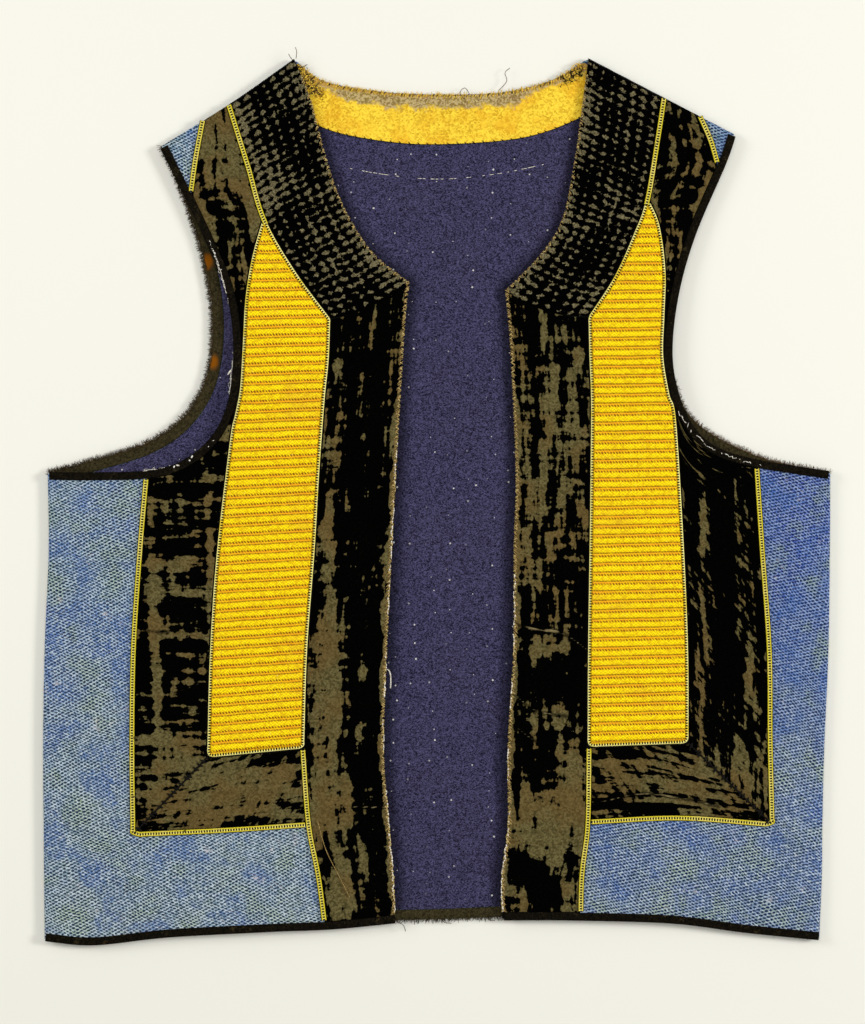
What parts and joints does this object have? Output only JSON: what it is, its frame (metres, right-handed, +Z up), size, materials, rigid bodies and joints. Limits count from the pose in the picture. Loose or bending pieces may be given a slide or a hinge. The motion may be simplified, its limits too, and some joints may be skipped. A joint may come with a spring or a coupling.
{
  "type": "embroidered folk vest laid flat",
  "caption": "Sleeveless open-front folk vest laid flat, with velvet bands, ribbed embroidered panels, braided edges, a plain lining and a neck facing.",
  "frame": {"origin": "centre of the vest's outline on the surface that it lies on", "axes": "+Z up from the surface, +Y from the hem to the neck, +X to the right seen from above"},
  "size_m": [0.4731, 0.5316, 0.0089],
  "materials": {
    "ground": "blue cotton with small dark dots",
    "velvet": "black velvet, worn to its taupe backing",
    "panel": "yellow embroidery with orange rows",
    "braid": "yellow braid with dark dots",
    "edging": "cream cord with dark dots",
    "binding": "dark brown ribbon",
    "lining": "dark violet twill",
    "facing": "golden twill"
  },
  "bodies": {
    "root": {"back": "ground", "back_lining": "lining", "neck_facing": "facing", "armhole_facing_left": "binding", "armhole_facing_right": "binding", "hem_binding_back": "binding", "front_left": "ground", "neck_band_left": "velvet", "centre_band_left": "velvet", "shoulder_band_left": "velvet", "side_band_left": "velvet", "foot_band_left": "velvet", "yellow_panel_left": "panel", "panel_edging_left": "edging", "neck_braid_left": "braid", "shoulder_braid_left": "braid", "side_braid_left": "braid", "hem_braid_left": "braid", "armhole_binding_left": "binding", "hem_binding_left": "binding", "front_right": "ground", "neck_band_right": "velvet", "centre_band_right": "velvet", "shoulder_band_right": "velvet", "side_band_right": "velvet", "foot_band_right": "velvet", "yellow_panel_right": "panel", "panel_edging_right": "edging", "neck_braid_right": "braid", "shoulder_braid_right": "braid", "side_braid_right": "braid", "hem_braid_right": "braid", "armhole_binding_right": "binding", "hem_binding_right": "binding"}
  },
  "joints": []
}
